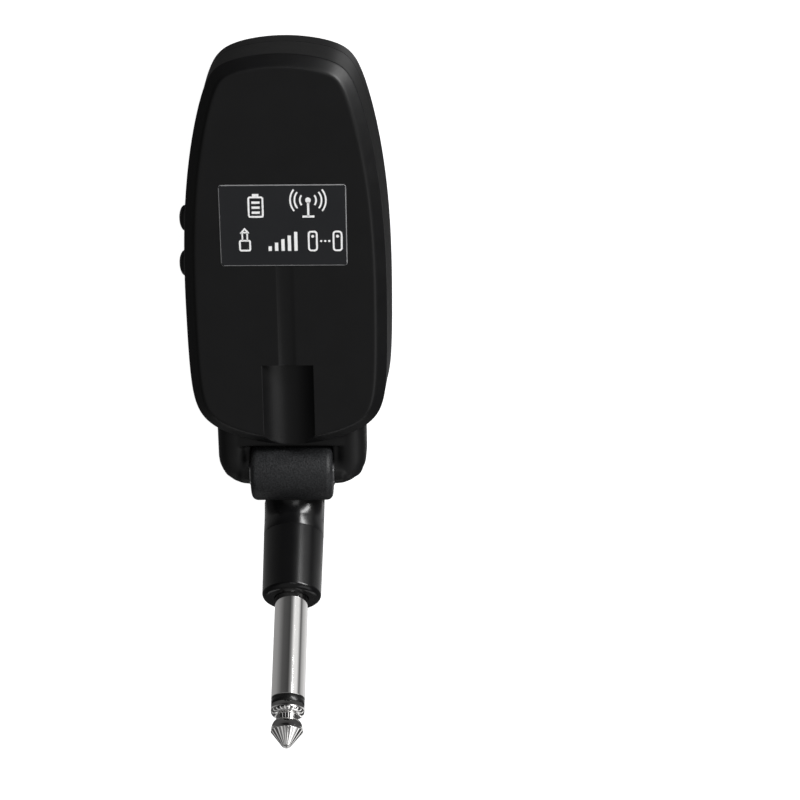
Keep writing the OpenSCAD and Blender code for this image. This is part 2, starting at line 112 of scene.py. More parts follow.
# ---- outline of the case, seen from the rear ----

def half_width(y):
    lean = np.maximum(0, (y - Y_BOTTOM - TAPER_START) / (Y_TOP - Y_BOTTOM - TAPER_START)) ** 2.7
    side = HALF_W - TAPER * lean
    top = np.sqrt(2 * TOP_ARC * np.maximum(Y_TOP - y, 1e-6))
    bottom = np.sqrt(2 * BOTTOM_ARC * np.maximum(y - Y_BOTTOM, 1e-6))
    return (side ** -5 + top ** -5 + bottom ** -5) ** -0.2


def outline(offset, steps=200):
    """Closed outline as an array of points, anticlockwise from the bottom, moved outwards by offset."""
    y = Y_BOTTOM * np.cos(np.pi * np.arange(steps + 1) / steps)
    right = np.stack([half_width(y), y], 1)
    left = right[-2:0:-1] * [-1, 1]
    loop = np.concatenate([right, left])
    loop[0, 0] = loop[steps, 0] = 0
    run = np.roll(loop, -1, 0) - np.roll(loop, 1, 0)
    normal = np.stack([run[:, 1], -run[:, 0]], 1) / np.linalg.norm(run, axis=1)[:, None]
    return loop + offset * normal


def inside_distance(points):
    """Distance of each point from the outline, for points inside it."""
    loop = outline(0, 400)
    a, b = loop, np.roll(loop, -1, 0)
    best = np.full(len(points), 1e9)
    for start, end in zip(a, b):
        run = end - start
        t = np.clip((points - start) @ run / (run @ run), 0, 1)
        gap = points - start - t[:, None] * run
        best = np.minimum(best, np.einsum("ij,ij->i", gap, gap))
    return np.sqrt(best)


# ---- the rear face as a height over the outline ----

def smooth_min(a, b, k):
    h = np.maximum(k - np.abs(a - b), 0) / k
    return np.minimum(a, b) - h * h * k / 4


def smooth_max(a, b, k):
    return -smooth_min(-a, -b, k)


def trough(x, radius):
    """Height of a round groove whose axis is that of the folded plug."""
    reach = radius * 0.97
    depth = np.sqrt(radius ** 2 - np.minimum(np.abs(x), reach) ** 2)
    return FOLD_Z - depth + np.maximum(np.abs(x) - reach, 0) * 8


def rear_height(x, y, inward):
    outer = smooth_min(CHAMFER_Z + inward, REAR_Z, 0.4)
    step = REAR_Z - 2.6 + (y - GROOVE_END + 0.15) * 8
    wide = smooth_max(trough(x, GROOVE_R), step, 0.35)
    end = REAR_Z - 0.5 + (y - CHANNEL_END) * 2
    narrow = smooth_max(trough(x, CHANNEL_R), end, 0.2)
    return smooth_min(outer, smooth_min(wide, narrow, 0.15), 0.08)


# ---- mesh helpers ----

def finish_mesh(name, bm, matrix=None):
    """Makes an object from a bmesh in millimetres."""
    bmesh.ops.remove_doubles(bm, verts=bm.verts, dist=0.002)
    bmesh.ops.recalc_face_normals(bm, faces=bm.faces)
    if matrix is not None:
        bm.transform(matrix)
    bmesh.ops.scale(bm, vec=(MM, MM, MM), verts=bm.verts)
    mesh = bpy.data.meshes.new(name)
    bm.to_mesh(mesh)
    bm.free()
    obj = bpy.data.objects.new(name, mesh)
    bpy.context.scene.collection.objects.link(obj)
    return obj


def apply_modifiers(obj):
    depsgraph = bpy.context.evaluated_depsgraph_get()
    mesh = bpy.data.meshes.new_from_object(obj.evaluated_get(depsgraph))
    obj.modifiers.clear()
    obj.data = mesh


def boolean(obj, other, operation):
    """Joins, cuts or keeps obj by other, which is then removed."""
    modifier = obj.modifiers.new("cut", "BOOLEAN")
    modifier.operation = operation
    modifier.object = other
    modifier.solver = "EXACT"
    apply_modifiers(obj)
    bpy.data.objects.remove(other)
    return obj


def shade(obj, angle, weight="FACE_AREA"):
    """Smooth shading, sharp above an angle, with normals weighted by face area or by corner angle."""
    obj.data.shade_smooth()
    obj.data.set_sharp_from_angle(angle=math.radians(angle))
    modifier = obj.modifiers.new("normals", "WEIGHTED_NORMAL")
    modifier.mode = weight
    modifier.keep_sharp = True
    return obj


def add_rings(bm, rings):
    """Joins rings of points, each with as many points as the last."""
    rows = [[bm.verts.new(p) for p in ring] for ring in rings]
    for low, high in zip(rows, rows[1:]):
        for k in range(len(low)):
            after = (k + 1) % len(low)
            bm.faces.new([low[k], low[after], high[after], high[k]])
    return rows


def raised(points, heights):
    heights = np.broadcast_to(heights, len(points))
    return [(p[0], p[1], z) for p, z in zip(points, heights)]


def turned(name, profile, matrix, steps=96, closed=False):
    """Solid of revolution about Z from [radius, height] points, open where it meets the axis."""
    bm = bmesh.new()
    turns = [2 * math.pi * k / steps for k in range(steps)]
    profile = [(max(r, 0.0001), z) for r, z in profile]
    rings = [[(r * math.cos(t), r * math.sin(t), z) for t in turns] for r, z in profile]
    rows = add_rings(bm, rings + ([rings[0]] if closed else []))
    if not closed:
        for row in (rows[0], rows[-1]):
            bmesh.ops.pointmerge(bm, verts=row, merge_co=(0, 0, row[0].co.z))
    return finish_mesh(name, bm, matrix)


def arc(centre, a, b, start, end, steps=8):
    turns = [math.radians(start + (end - start) * k / steps) for k in range(steps + 1)]
    return [(centre[0] + a * math.cos(t), centre[1] + b * math.sin(t)) for t in turns]


def rounded(points, radius, steps=5):
    """Outline in which each inner corner is replaced by a curve of about that radius."""
    out = [points[0]]
    for before, here, after in zip(points, points[1:], points[2:]):
        p, q, r = (np.array(v, float) for v in (before, here, after))
        reach = min(radius, np.linalg.norm(p - q) / 2.1, np.linalg.norm(r - q) / 2.1)
        a = q + (p - q) / np.linalg.norm(p - q) * reach
        b = q + (r - q) / np.linalg.norm(r - q) * reach
        out += [tuple((1 - t) ** 2 * a + 2 * t * (1 - t) * q + t * t * b) for t in np.linspace(0, 1, steps)]
    return out + [points[-1]]


def basis(x, y, z, origin):
    """Matrix whose columns are three directions and an origin."""
    rows = np.eye(4)
    rows[:3, 0], rows[:3, 1], rows[:3, 2], rows[:3, 3] = x, y, z, origin
    return Matrix(rows.tolist())


X_AXIS = np.array([1.0, 0, 0])
PLUG = basis(X_AXIS, ARM_UP, PLUG_DIR, HINGE - PLUG_OFFSET * ARM_UP)
ACROSS = basis([0, 1.0, 0], [0, 0, 1.0], X_AXIS, HINGE)


def oblong(length, width, steps=20):
    """Outline of a flat bar with round ends, long in X."""
    reach = (length - width) / 2
    right = [(reach + x, y) for x, y in arc((0, 0), width / 2, width / 2, -90, 90, steps)]
    return right + [(-x, -y) for x, y in right]


def rounded_box(width, height, radius, steps=8):
    """Outline of a rectangle with round corners."""
    x, y = width / 2 - radius, height / 2 - radius
    corners = [(x, y, 0), (-x, y, 90), (-x, -y, 180), (x, -y, 270)]
    return [p for cx, cy, start in corners for p in arc((cx, cy), radius, radius, start, start + 90, steps)]


def prism(name, points, low, high, matrix=None):
    bm = bmesh.new()
    rows = add_rings(bm, [raised(np.array(points), low), raised(np.array(points), high)])
    bm.faces.new(rows[0][::-1])
    bm.faces.new(rows[1])
    return finish_mesh(name, bm, matrix)


# ---- shells ----

BUTTON_Z = (box_mm("power_plunger")[0][2] + box_mm("power_plunger")[1][2]) / 2
KEYS = {"power_button": "power_key", "channel_button": "channel_key"}
FORK_LOW, FORK_HIGH = box_mm("hinge_fork")
FORK_REAR = 16.0
LUG_OUT = FORK_HIGH[0]
USB_LOW, USB_HIGH = box_mm("usb_socket")


def mid_y(node):
    low, high = box_mm(node)
    return (low[1] + high[1]) / 2


def side_hole(y, length, height):
    """Cutter through the left wall."""
    x = -half_width(np.array(float(y)))
    across = basis([0, 1.0, 0], [0, 0, 1.0], X_AXIS, (float(x), y, BUTTON_Z))
    return prism("hole", oblong(length, height), -3, 3, across)


def facing_plug(height):
    """Matrix whose Z runs along the case towards the plug, at a height."""
    return basis(X_AXIS, [0, 0, 1.0], [0, -1.0, 0], (0, 0, height))


def fork_hole(gap=0.15):
    width = 2 * (LUG_OUT + gap)
    low, high = FORK_LOW[2] - gap, FORK_REAR + gap
    return prism("hole", rounded_box(width, high - low, 3.2 + gap), 33.2, 45, facing_plug((low + high) / 2))


def rear_top(bm):
    """The chamfer and the rear face, triangulated between the outline's rings and the grooves' edges."""
    points, edges = [], []

    def add_line(line, loop=False):
        first = len(points)
        points.extend(Vector(p) for p in line)
        edges.extend((first + k, first + k + 1) for k in range(len(line) - 1))
        if loop:
            edges.append((len(points) - 1, first))

    inner_y = Y_BOTTOM + 1
    for inward in (0.3, 0.6, 1.0, 1.5, 1.7, 1.9, 2.1, 2.3, 2.5, 2.7):
        add_line(outline(-inward), loop=True)
    wide_rim = math.sqrt(GROOVE_R ** 2 - (FOLD_Z - REAR_Z) ** 2)
    narrow_rim = math.sqrt(CHANNEL_R ** 2 - (FOLD_Z - REAR_Z) ** 2)
    round_off = (-0.35, -0.22, -0.12, -0.03, 0.06, 0.15, 0.26)
    for side in (-1, 1):
        for move in round_off:
            wide, narrow = side * (wide_rim + move), side * (narrow_rim + move)
            add_line([(wide, inner_y), (wide, GROOVE_END + 0.3)])
            add_line([(narrow, GROOVE_END - 0.3), (narrow, CHANNEL_END + 0.4)])
    for x in np.linspace(-4.4, 4.4, 23):
        add_line([(x, inner_y), (x, GROOVE_END + 0.3)])
    for x in np.linspace(-1.3, 1.3, 7):
        add_line([(x, GROOVE_END - 0.3), (x, CHANNEL_END + 0.4)])
    for move in np.linspace(-0.36, 0.36, 13):
        add_line([(-wide_rim - 0.3, GROOVE_END + move), (wide_rim + 0.3, GROOVE_END + move)])
    for y in np.arange(inner_y + 0.05, inner_y + 3.2, 0.25):
        add_line([(x, y) for x in np.linspace(-wide_rim - 0.5, wide_rim + 0.5, 30)])
    flat, _, faces, _, _, _ = delaunay_2d_cdt(points, edges, [], 1, 1e-4)
    flat = np.array([tuple(p) for p in flat])
    heights = rear_height(flat[:, 0], flat[:, 1], inside_distance(flat))
    verts = [bm.verts.new((x, y, z)) for (x, y), z in zip(flat, heights)]
    for face in faces:
        bm.faces.new([verts[k] for k in face])


def rear_case():
    bm = bmesh.new()
    levels = [(-1.9, 15.2), (-1.35, SEAM_Z), (SEAM_FLARE - 0.15, SEAM_Z), (SEAM_FLARE - 0.04, SEAM_Z + 0.04),
              (SEAM_FLARE, SEAM_Z + 0.15), (0.18, 12.0), (0.03, 16.2)]
    corner = rounded([(0.01, CHAMFER_Z - 0.6), (0, CHAMFER_Z), (-0.3, CHAMFER_Z + 0.3)], 0.3, 6)
    rings = [raised(outline(o), z) for o, z in levels]
    for offset, z in corner:
        ring = outline(offset)
        cut = rear_height(ring[:, 0], ring[:, 1], np.full(len(ring), 0.3))
        room = trough(ring[:, 0], GROOVE_R) + np.where(ring[:, 1] < 0, 0, 99)
        height = smooth_min(np.full(len(ring), z), room, 0.1)
        if (offset, z) == corner[-1]:
            height = cut
        rings.append(raised(ring, height))
    rows = add_rings(bm, rings)
    bm.faces.new(rows[0][::-1])
    rear_top(bm)
    case = finish_mesh("rear_case", bm)
    for node in KEYS:
        boolean(case, side_hole(mid_y(node), 5.3, 3.7), "DIFFERENCE")
    boolean(case, side_hole((USB_LOW[1] + USB_HIGH[1]) / 2, 9.2, 3.5), "DIFFERENCE")
    boolean(case, fork_hole(), "DIFFERENCE")
    return shade(case, 40)


def front_case():
    bm = bmesh.new()
    foot = [(FRONT_FLARE - FRONT_ROUND * (1 - math.sin(t)), FRONT_ROUND * (1 - math.cos(t)))
            for t in np.linspace(0, math.pi / 2, 12)]
    top = SEAM_Z - SEAM_GAP
    levels = [(-4.4, 0.8), (-4.4, 0.12), (-4.36, 0.03), (-4.25, 0)] + foot + [
        (SEAM_FLARE, top - 0.15), (SEAM_FLARE - 0.04, top - 0.04), (SEAM_FLARE - 0.15, top),
        (-1.35, top), (-1.1, 3.4), (-2.3, 1.8)]
    rows = add_rings(bm, [raised(outline(o), z) for o, z in levels])
    bm.faces.new(rows[0][::-1])
    bm.faces.new(rows[-1])
    case = finish_mesh("front_case", bm)
    boolean(case, fork_hole(), "DIFFERENCE")
    return shade(case, 40)


# ---- hinge ----

LUG_IN = BARREL_W / 2 + 0.1
WASHER_FACE = BARREL_W / 2 + 0.35
LUG_CORNER = 6
CORNER_ABOVE_HINGE = 3.2
RIDGE_R = 3.2
RIDGE_HIGH = HINGE[2] - 1.5
RIDGE_LOW = FORK_LOW[2] + RIDGE_R
ROOT_Y = Y_BOTTOM + 4.5
BOSS_R = 2.1
PIN_R = 1.4
PIN_BORE_R = 0.9
PIN_END = 10.3
CAP_SEAT = 11.9
CAP_R = 1.3
WASHER_R = 2.55
WEB_FACE = 38.8
SKIN_VOXEL = 0.2
FLARE_END = 8.2
FLARE_CURVE = 0.07


def ball(centre, radius, steps=20):
    """Points over a sphere, for a hull."""
    out = []
    for lat in np.linspace(-math.pi / 2, math.pi / 2, steps):
        for turn in np.linspace(0, 2 * math.pi, 2 * steps, endpoint=False):
            ring = radius * math.cos(lat)
            out.append(centre + [ring * math.cos(turn), ring * math.sin(turn), radius * math.sin(lat)])
    return out


def disc(centre, radius, axis, steps=40):
    """Points round a circle, for a hull."""
    u = np.roll(axis, 1)
    v = np.cross(axis, u)
    turns = np.linspace(0, 2 * math.pi, steps, endpoint=False)
    return [centre + radius * (math.cos(t) * u + math.sin(t) * v) for t in turns]


def hull(name, points):
    bm = bmesh.new()
    for p in points:
        bm.verts.new(p)
    bmesh.ops.convex_hull(bm, input=bm.verts)
    loose = [v for v in bm.verts if not v.link_faces]
    bmesh.ops.delete(bm, geom=loose, context="VERTS")
    return finish_mesh(name, bm)


def lug_shapes(side):
    """The finger of one lug, which turns inwards at its tip, and the boss round the hinge pin."""
    reach = LUG_CORNER - RIDGE_R
    centre = np.array([LUG_OUT - LUG_CORNER, HINGE[1] + CORNER_ABOVE_HINGE])
    path = [np.array([LUG_OUT - RIDGE_R, ROOT_Y + RIDGE_R])]
    for turn in np.radians(np.linspace(0, 90, 7)):
        path.append(centre + [reach * math.cos(turn), -reach * math.sin(turn)])
    path.append(path[-1] - [1.5, 0])
    shapes = []
    for here, after in zip(path, path[1:]):
        ends = [ball(np.array([side * p[0], p[1], z]), RIDGE_R)
                for p in (here, after) for z in (RIDGE_LOW, RIDGE_HIGH)]
        shapes.append(hull("finger", sum(ends, [])))
    pin = np.array([side * (LUG_IN + 0.3), HINGE[1], HINGE[2]])
    boss = [disc(pin + [step, 0, 0], BOSS_R, X_AXIS) for step in (-1.5, 1.5)]
    boss.append(ball(np.array([side * (LUG_OUT - RIDGE_R), HINGE[1] + 0.6, RIDGE_HIGH - 0.6]), 2.5))
    shapes.append(hull("boss", sum(boss, [])))
    return shapes


def joined(name, parts):
    """One object from several, which are removed."""
    bm = bmesh.new()
    for part in parts:
        bm.from_mesh(part.data)
        bpy.data.objects.remove(part)
    mesh = bpy.data.meshes.new(name)
    bm.to_mesh(mesh)
    bm.free()
    obj = bpy.data.objects.new(name, mesh)
    bpy.context.scene.collection.objects.link(obj)
    return obj


def blend_union(obj, voxel, smoothing):
    """Makes one skin of overlapping shapes and rounds the edges and corners where they meet."""
    remesh = obj.modifiers.new("blend", "REMESH")
    remesh.mode = "VOXEL"
    remesh.voxel_size = voxel * MM
    if smoothing:
        smooth = obj.modifiers.new("smooth", "SMOOTH")
        smooth.factor = 0.5
        smooth.iterations = smoothing
    apply_modifiers(obj)
    return obj


def weld(obj, distance=0.004):
    """Closes up the sliver faces that the cuts leave."""
    bm = bmesh.new()
    bm.from_mesh(obj.data)
    bmesh.ops.triangulate(bm, faces=[face for face in bm.faces if len(face.verts) > 4])
    bmesh.ops.remove_doubles(bm, verts=bm.verts, dist=distance * MM)
    bmesh.ops.dissolve_degenerate(bm, edges=bm.edges, dist=distance * MM / 4)
    bmesh.ops.triangulate(bm, faces=[face for face in bm.faces if len(face.verts) > 4])
    bm.to_mesh(obj.data)
    bm.free()
    return obj


def fork_body():
    """The two lugs and the web between them, moulded as one."""
    web_low, web_high = FORK_LOW[2] + 0.3, 15.9
    web_shape = rounded_box(2 * LUG_OUT - 0.6, web_high - web_low, RIDGE_R - 0.3)
    web = prism("web", web_shape, 36.8, WEB_FACE, facing_plug((web_low + web_high) / 2))
    cheek_shape = np.array(rounded_box(2.6, 4.8, 0.4))
    cheeks = [prism("cheek", cheek_shape + [side * 7.7, -41.1], web_low + 1.5, web_high - 0.8)
              for side in (-1, 1)]
    fork = joined("fork_body", [web] + cheeks + lug_shapes(-1) + lug_shapes(1))
    blend_union(fork, SKIN_VOXEL, 0)
    cut_box(fork, 6.4, WEB_FACE, 60, 0, 30)
    cut_box(fork, LUG_IN, WEB_FACE, 60, HINGE[2], 30)
    cut_box(fork, LUG_IN, 43.2, 60, 0, 30)
    cut_drum(fork, -LUG_IN, LUG_IN, BARREL_R + 0.35)
    blend_union(fork, SKIN_VOXEL, 5)
    cap = fork.copy()
    cap.name, cap.data = "cap_disc", fork.data.copy()
    bpy.context.scene.collection.objects.link(cap)
    boolean(cap, drum(CAP_SEAT + 0.02, 16, CAP_R), "INTERSECT")
    cut_drum(fork, CAP_SEAT, 16, CAP_R + 0.01)
    cut_drum(fork, -WASHER_FACE, WASHER_FACE, WASHER_R)
    cut_drum(fork, -PIN_END - 0.1, PIN_END + 0.1, PIN_R + 0.03)
    return shade(weld(fork), 40), shade(weld(cap), 25)


def drum(low, high, radius):
    """Cylinder round the hinge axis, between two places along it."""
    return turned("drum", [(0, low), (radius, low), (radius, high), (0, high)], ACROSS)


def cut_drum(obj, low, high, radius):
    boolean(obj, drum(low, high, radius), "DIFFERENCE")


def cut_box(obj, half, near, far, low, high):
    """Cuts away a box between two distances towards the plug and two heights."""
    corners = [(half, low), (half, high), (-half, high), (-half, low)]
    boolean(obj, prism("box", corners, near, far, facing_plug(0)), "DIFFERENCE")


def hinge_pin():
    """Hollow pin through the barrel, with a hole in its side for the wires to the plug."""
    profile = [(PIN_BORE_R, -PIN_END), (PIN_R, -PIN_END), (PIN_R, PIN_END), (PIN_BORE_R, PIN_END)]
    pin = turned("pivot_pin", profile, ACROSS, closed=True)
    towards_plug = basis(X_AXIS, ARM_UP, PLUG_DIR, HINGE)
    side = turned("hole", [(0, 0), (1.1, 0), (1.1, 3), (0, 3)], towards_plug)
    boolean(pin, side, "DIFFERENCE")
    return shade(pin, 35)


def neck_flare():
    """The neck's rise towards the barrel, as rings that shift off the plug axis as they near the hinge."""
    bm = bmesh.new()
    turns = np.linspace(0, 2 * math.pi, 144, endpoint=False)
    rings = []
    radius = SOCKET_R - 0.03
    for along in np.linspace(3.6, FLARE_END, 24):
        shift = FLARE_CURVE * (FLARE_END - along) ** 2
        rings.append([(radius * math.cos(t), radius * math.sin(t) + shift, along) for t in turns])
    rows = add_rings(bm, rings)
    bm.faces.new(rows[0][::-1])
    bm.faces.new(rows[-1])
    return finish_mesh("flare", bm, PLUG)


def knuckle_body():
    """The barrel on the hinge pin, joined to the socket that carries the plug."""
    half = BARREL_W / 2
    edge = 1.2
    barrel = turned("knuckle_body", [(0, -half)] + arc((BARREL_R - edge, edge - half), edge, edge, -90, 0)
                    + arc((BARREL_R - edge, half - edge), edge, edge, 0, 90) + [(0, half)], ACROSS, 144)
    socket = turned("socket", [(0, -1.5)] + arc((SOCKET_R - 0.7, -0.8), 0.7, 0.7, -90, 0)
                    + arc((SOCKET_R - 0.04, COVER_START - 0.04), 0.04, 0.04, 0, 90, 3)
                    + [(4.4, COVER_START), (4.4, 14.3), (3.3, 14.3), (3.3, -0.5), (0, -0.5)], PLUG, 144)
    boolean(barrel, socket, "UNION")
    boolean(barrel, neck_flare(), "UNION")
    boolean(barrel, turned("core", [(0, -0.45), (3.25, -0.45), (3.25, 13), (0, 13)], PLUG), "DIFFERENCE")
    boolean(barrel, drum(-20, 20, PIN_R), "DIFFERENCE")
    return shade(weld(barrel), 35, "CORNER_ANGLE")


# ---- plug ----

def cover_sleeve():
    end = COVER_R - 0.15
    inner = JACK_R + 0.1
    profile = [(4.4, COVER_START + 0.02)] + arc((COVER_R - 0.04, COVER_START + 0.06), 0.04, 0.04, -90, 0, 3)
    profile += arc((end - 1.1, COVER_END - 1.0), 1.1, 1.1, 0, 90, 12)
    profile += [(inner + 0.12, COVER_END), (inner, COVER_END - 0.12)]
    profile += [(inner, COVER_END - 2), (4.4, COVER_END - 2)]
    return shade(turned("cover_sleeve", profile, PLUG, 144, closed=True), 35)


def plug_shaft():
    profile = [(2.2, 11), (3, 11), (3, COVER_END - 5.5), (4.3, COVER_END - 5.5), (4.3, COVER_END - 2)]
    profile += [(JACK_R, COVER_END - 2), (JACK_R, COVER_END)]
    profile += [(JACK_R, SHAFT_END - 0.08), (JACK_R - 0.08, SHAFT_END), (2.2, SHAFT_END)]
    return shade(turned("plug_shaft", profile, PLUG, 144, closed=True), 35)


def plug_ring():
    profile = [(1.25, 10), (2.2, 10), (2.2, SHAFT_END), (JACK_R - 0.06, SHAFT_END)]
    profile += [(JACK_R - 0.02, SHAFT_END + 0.1), (JACK_R - 0.02, RING_END - 0.1), (JACK_R - 0.06, RING_END)]
    profile += [(1.25, RING_END)]
    return shade(turned("plug_ring", profile, PLUG, 144, closed=True), 35)


def plug_tip():
    neck, head = 1.92, 3.03
    profile = [(0, 8.6), (1.25, 8.6), (1.25, RING_END)]
    profile += [(JACK_R - 0.08, RING_END), (JACK_R, RING_END + 0.08)]
    profile += arc((neck + 0.1, RING_END + 1.05), JACK_R - neck - 0.1, 1.1, 0, 84, 12)
    profile += arc((neck, RING_END + 5.0), head - neck - 0.04, 2.0, -84, 0, 12)
    profile += arc((head - 0.16, RING_END + 5.12), 0.16, 0.16, 10, 45, 4)
    profile += arc((0, RING_END + TIP_LEN - 0.6), 0.95, 0.6, 20, 90, 8)
    return shade(turned("plug_tip", profile, PLUG, 144), 50)


# ---- keys ----

def key_top(node):
    """Domed button: a pillow on an oblong, with its flange and stem behind the wall."""
    low, high = box_mm(node)
    y = mid_y(node)
    out = low[0]
    face = -float(half_width(np.array(y)))
    across = basis([0, -1.0, 0], [0, 0, 1.0], [-1.0, 0, 0], (face, y, BUTTON_Z))
    rise = face - out
    bm = bmesh.new()
    rings = [raised(np.array(oblong(6.2, 4.6)), -WALL - 1.1), raised(np.array(oblong(6.2, 4.6)), -WALL - 0.5)]
    rings.append(raised(np.array(oblong(5.0, 3.4)), -WALL - 0.5))
    rings.append(raised(np.array(oblong(5.0, 3.4)), rise * 0.25))
    for turn in np.radians(np.linspace(12, 90, 12)):
        ring = np.array(oblong(5.0, 3.4)) * max(math.cos(turn), 0.02)
        rings.append(raised(ring, rise * (0.25 + 0.75 * math.sin(turn))))
    rows = add_rings(bm, rings)
    bm.faces.new(rows[0][::-1])
    bm.faces.new(rows[-1])
    top = finish_mesh(node + "_top", bm, across)
    stem_len = high[0] - face - WALL - 1
    stem = turned("stem", [(0, 0), (0.9, 0), (0.9, -stem_len - 0.2), (0, -stem_len - 0.2)],
                  across @ Matrix.Translation((0, 0, -WALL - 0.8)))
    boolean(top, stem, "UNION")
    return shade(top, 40)


# ---- label ----

def label_film():
    """Thin film with a rolled edge."""
    size = LABEL_HIGH - LABEL_LOW
    levels = [(0, 0), (0, 0.07), (-0.05, 0.12), (-0.17, size[2])]
    bm = bmesh.new()
    rings = [raised(np.array(rounded_box(size[0] + 2 * o, size[1] + 2 * o, 0.6)), LABEL_LOW[2] + z)
             for o, z in levels]
    rows = add_rings(bm, rings)
    bm.faces.new(rows[0][::-1])
    bm.faces.new(rows[-1])
    return shade(finish_mesh("label_film", bm, Matrix.Translation((0, LABEL_MID[1], 0))), 60)


PRINT_LINE = 0.34
PRINT_LIFT = 0.012


def stroke(bm, points, width=PRINT_LINE, closed=False):
    """Line of even width drawn on the label, from its centre."""
    p = np.array(points, float)
    after = np.roll(p, -1, 0) - p
    before = p - np.roll(p, 1, 0)
    if not closed:
        after[-1], before[0] = before[-1], after[0]
    after /= np.linalg.norm(after, axis=1)[:, None]
    before /= np.linalg.norm(before, axis=1)[:, None]
    bend = after + before
    bend /= np.linalg.norm(bend, axis=1)[:, None]
    side = np.stack([-bend[:, 1], bend[:, 0]], 1)
    stretch = 1 / np.maximum(np.einsum("ij,ij->i", bend, after), 0.4)
    left = p + side * (width / 2 * stretch)[:, None]
    right = p - side * (width / 2 * stretch)[:, None]
    z = LABEL_HIGH[2] + PRINT_LIFT
    rows = []
    for l, r in zip(left, right):
        corners = [(l[0], l[1], z), (r[0], r[1], z), (r[0], r[1], z - 0.02), (l[0], l[1], z - 0.02)]
        rows.append([bm.verts.new((x, y + LABEL_MID[1], h)) for x, y, h in corners])
    pairs = list(zip(rows, rows[1:])) + ([(rows[-1], rows[0])] if closed else [])
    for low, high in pairs:
        for k in range(4):
            bm.faces.new([low[k], high[k], high[(k + 1) % 4], low[(k + 1) % 4]])
    if not closed:
        bm.faces.new(rows[0])
        bm.faces.new(rows[-1][::-1])


def spot(bm, x, y, radius):
    """Dot, as a closed line so wide that it all but meets in the middle."""
    turns = np.linspace(0, 2 * math.pi, 24, endpoint=False)
    ring = [(x + radius / 2 * math.cos(t), y + radius / 2 * math.sin(t)) for t in turns]
    stroke(bm, ring, radius * 0.9, True)


def frame_line(bm, x, y, w, h, r=0.3):
    stroke(bm, [(x + px, y + py) for px, py in rounded_box(w, h, r, 3)], closed=True)


def battery_mark(bm, x, y):
    frame_line(bm, x, y - 0.25, 2.6, 3.7)
    stroke(bm, [(x - 0.6, y + 2.0), (x + 0.6, y + 2.0)], 0.5)
    for step in range(3):
        stroke(bm, [(x - 0.75, y - 1.3 + 0.95 * step), (x + 0.75, y - 1.3 + 0.95 * step)], 0.45)


def radio_mark(bm, x, y):
    """A mast with waves to both sides."""
    stroke(bm, [(x, y - 2.2), (x, y + 0.6)], 0.4)
    stroke(bm, [(x - 1.1, y - 2.2), (x + 1.1, y - 2.2)], 0.4)
    spot(bm, x, y + 0.9, 0.55)
    for radius in (1.5, 2.5, 3.3):
        for side in (0, 180):
            waves = arc((x, y + 0.9), radius, radius, side - 38, side + 38, 10)
            stroke(bm, waves, 0.32)


def plug_mark(bm, x, y):
    """A jack plug standing up."""
    frame_line(bm, x, y - 1.1, 1.9, 1.9, 0.25)
    stroke(bm, [(x - 0.45, y - 0.1), (x - 0.45, y + 1.4)], 0.3)
    stroke(bm, [(x + 0.45, y - 0.1), (x + 0.45, y + 1.4)], 0.3)
    stroke(bm, [(x - 0.6, y + 1.4), (x, y + 2.1), (x + 0.6, y + 1.4)], 0.3, True)


def bars_mark(bm, x, y):
    for step in range(5):
        stroke(bm, [(x - 2.4 + 1.2 * step, y - 1.9), (x - 2.4 + 1.2 * step, y - 1.0 + 0.68 * step)], 0.62)


def link_mark(bm, x, y):
    """Two units joined by dots."""
    for side in (-1, 1):
        frame_line(bm, x + side * 2.3, y, 1.5, 3.6, 0.45)
        spot(bm, x + side * 2.3, y + 0.9, 0.3)
    for step in (-0.75, 0, 0.75):
        spot(bm, x + step, y, 0.22)


def label_print():
    bm = bmesh.new()
    battery_mark(bm, -4.95, 3.8)
    radio_mark(bm, 4.75, 3.9)
    plug_mark(bm, -7.15, -2.7)
    bars_mark(bm, -0.1, -2.95)
    link_mark(bm, 7.75, -3.0)
    return finish_mesh("label_print", bm)


# ---- materials ----

def socket_value(shader, **values):
    for name, value in values.items():
        shader.inputs[name.replace("_", " ")].default_value = value


